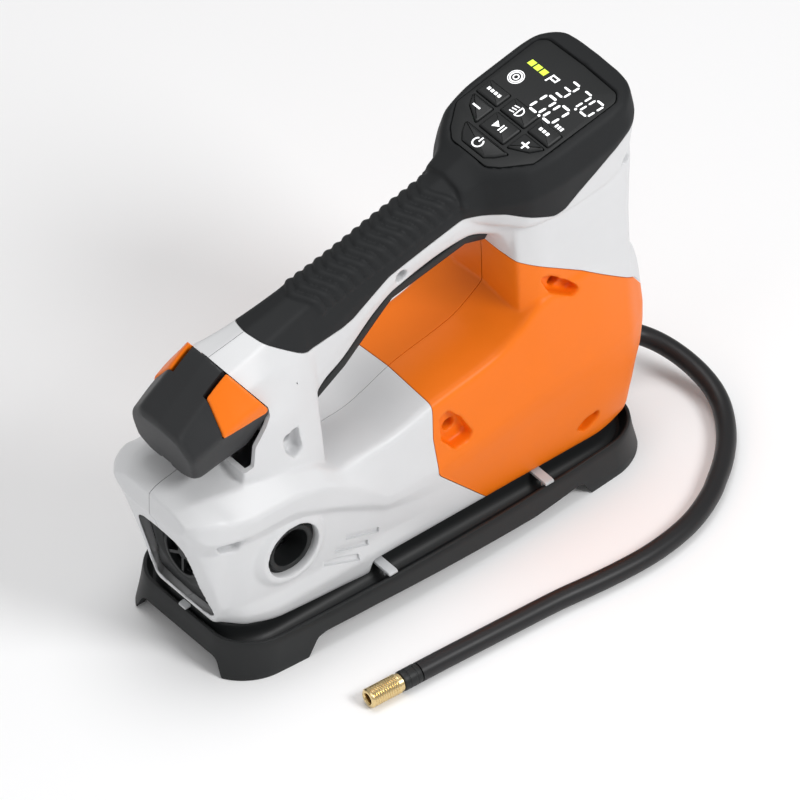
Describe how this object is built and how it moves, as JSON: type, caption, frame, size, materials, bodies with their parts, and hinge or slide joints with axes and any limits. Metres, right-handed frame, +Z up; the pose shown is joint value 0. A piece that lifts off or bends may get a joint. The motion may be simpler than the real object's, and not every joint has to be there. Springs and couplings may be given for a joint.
{
  "type": "cordless tyre inflator",
  "caption": "Handheld cordless tyre inflator on a tray, with a D handle, a keypad display head, a slide-in battery, an inner pump and an air hose with a threaded end.",
  "frame": {"origin": "on the floor under the middle of the object without its hose", "axes": "+Z up, +X towards the display end, -X towards the battery end, -Y the left side"},
  "size_m": [0.3725, 0.1761, 0.2603],
  "materials": {
    "white_plastic": "fine textured satin",
    "orange_plastic": "fine textured satin",
    "grip_rubber": "soft matt",
    "black_plastic": "fine textured satin",
    "clip_plastic": "smooth satin",
    "steel": "zinc plated",
    "panel_plastic": "satin film",
    "key_plastic": "soft matt",
    "circuit_board": "solder mask",
    "lamp_glass": "clear",
    "cast_metal": "as cast",
    "hose_rubber": "smooth satin",
    "brass": "turned",
    "battery_plastic": "fine textured satin",
    "latch_plastic": "fine textured satin",
    "cell_wrap": "shrink film"
  },
  "bodies": {
    "housing": {"front_casing_left": "white_plastic", "front_casing_right": "white_plastic", "rear_casing_left": "orange_plastic", "rear_casing_right": "orange_plastic", "grip_cover": "grip_rubber", "finger_liner": "black_plastic", "base_tray": "black_plastic", "hose_clip_front": "clip_plastic", "hose_clip_near_front": "clip_plastic", "hose_clip_near_rear": "clip_plastic", "hose_clip_far_front": "clip_plastic", "hose_clip_far_rear": "clip_plastic", "casing_screw_nose": "steel", "casing_screw_collar": "steel", "casing_screw_grip": "steel", "casing_screw_display": "steel", "casing_screw_column": "steel", "casing_screw_middle": "steel", "casing_screw_rear": "steel", "tray_screw_front": "steel", "tray_screw_rear": "steel", "display_panel": "panel_plastic", "display_board": "circuit_board", "control_board": "circuit_board", "nose_bowl": "black_plastic", "intake_grille": "black_plastic", "lamp_lens": "lamp_glass", "side_port_left": "black_plastic", "side_port_right": "black_plastic", "battery_terminal": "black_plastic", "motor": "steel", "gear_plate": "cast_metal", "cylinder": "cast_metal", "cylinder_head": "cast_metal", "air_tube": "hose_rubber", "outlet_block": "cast_metal", "hose_gland": "black_plastic", "hose": "hose_rubber", "hose_ferrule": "black_plastic", "hose_fitting": "brass"},
    "battery": {"battery_cap": "battery_plastic", "battery_sleeve": "black_plastic", "battery_cell_left": "cell_wrap", "battery_cell_right": "cell_wrap", "battery_cell_top": "cell_wrap"},
    "latch_left": {"latch_left": "latch_plastic"},
    "latch_right": {"latch_right": "latch_plastic"},
    "crank": {"crank_gear": "steel"},
    "motor_rotor": {"motor_shaft": "steel", "cooling_fan": "black_plastic", "pinion": "brass"},
    "piston": {"piston": "cast_metal", "piston_seal": "black_plastic"},
    "mode_key": {"mode_key": "key_plastic"},
    "light_key": {"light_key": "key_plastic"},
    "unit_key": {"unit_key": "key_plastic"},
    "minus_key": {"minus_key": "key_plastic"},
    "start_key": {"start_key": "key_plastic"},
    "plus_key": {"plus_key": "key_plastic"},
    "power_key": {"power_key": "key_plastic"}
  },
  "joints": [
    {"name": "battery_slide", "type": "slide", "parent": "housing", "child": "battery", "axis": [-0.9781, 0, -0.2079], "range_m": [0, 0.075]},
    {"name": "latch_left_press", "type": "slide", "parent": "battery", "child": "latch_left", "axis": [0, 1, 0], "range_m": [0, 0.002], "stiffness_N_per_m": 1500},
    {"name": "latch_right_press", "type": "slide", "parent": "battery", "child": "latch_right", "axis": [0, -1, 0], "range_m": [0, 0.002], "stiffness_N_per_m": 1500},
    {"name": "crank_turn", "type": "hinge", "parent": "housing", "child": "crank", "pos_m": [-0.061, 0.015, 0.0503], "axis": [1, 0, 0], "continuous": true},
    {"name": "motor_turn", "type": "hinge", "parent": "housing", "child": "motor_rotor", "pos_m": [-0.061, 0, 0.065], "axis": [1, 0, 0], "continuous": true},
    {"name": "piston_stroke", "type": "slide", "parent": "housing", "child": "piston", "axis": [0, 0, 1], "range_m": [-0.012, 0]},
    {"name": "mode_key_press", "type": "slide", "parent": "housing", "child": "mode_key", "axis": [0.2055, 0, -0.9787], "range_m": [0, 0.0008], "stiffness_N_per_m": 800},
    {"name": "light_key_press", "type": "slide", "parent": "housing", "child": "light_key", "axis": [0.2055, 0, -0.9787], "range_m": [0, 0.0008], "stiffness_N_per_m": 800},
    {"name": "unit_key_press", "type": "slide", "parent": "housing", "child": "unit_key", "axis": [0.2055, 0, -0.9787], "range_m": [0, 0.0008], "stiffness_N_per_m": 800},
    {"name": "minus_key_press", "type": "slide", "parent": "housing", "child": "minus_key", "axis": [0.2055, 0, -0.9787], "range_m": [0, 0.0008], "stiffness_N_per_m": 800},
    {"name": "start_key_press", "type": "slide", "parent": "housing", "child": "start_key", "axis": [0.2055, 0, -0.9787], "range_m": [0, 0.0008], "stiffness_N_per_m": 800},
    {"name": "plus_key_press", "type": "slide", "parent": "housing", "child": "plus_key", "axis": [0.2055, 0, -0.9787], "range_m": [0, 0.0008], "stiffness_N_per_m": 800},
    {"name": "power_key_press", "type": "slide", "parent": "housing", "child": "power_key", "axis": [0.2055, 0, -0.9787], "range_m": [0, 0.0008], "stiffness_N_per_m": 800}
  ],
  "couplings": [
    {"joint": "motor_turn", "follows": "crank_turn", "ratio": -4.2}
  ]
}
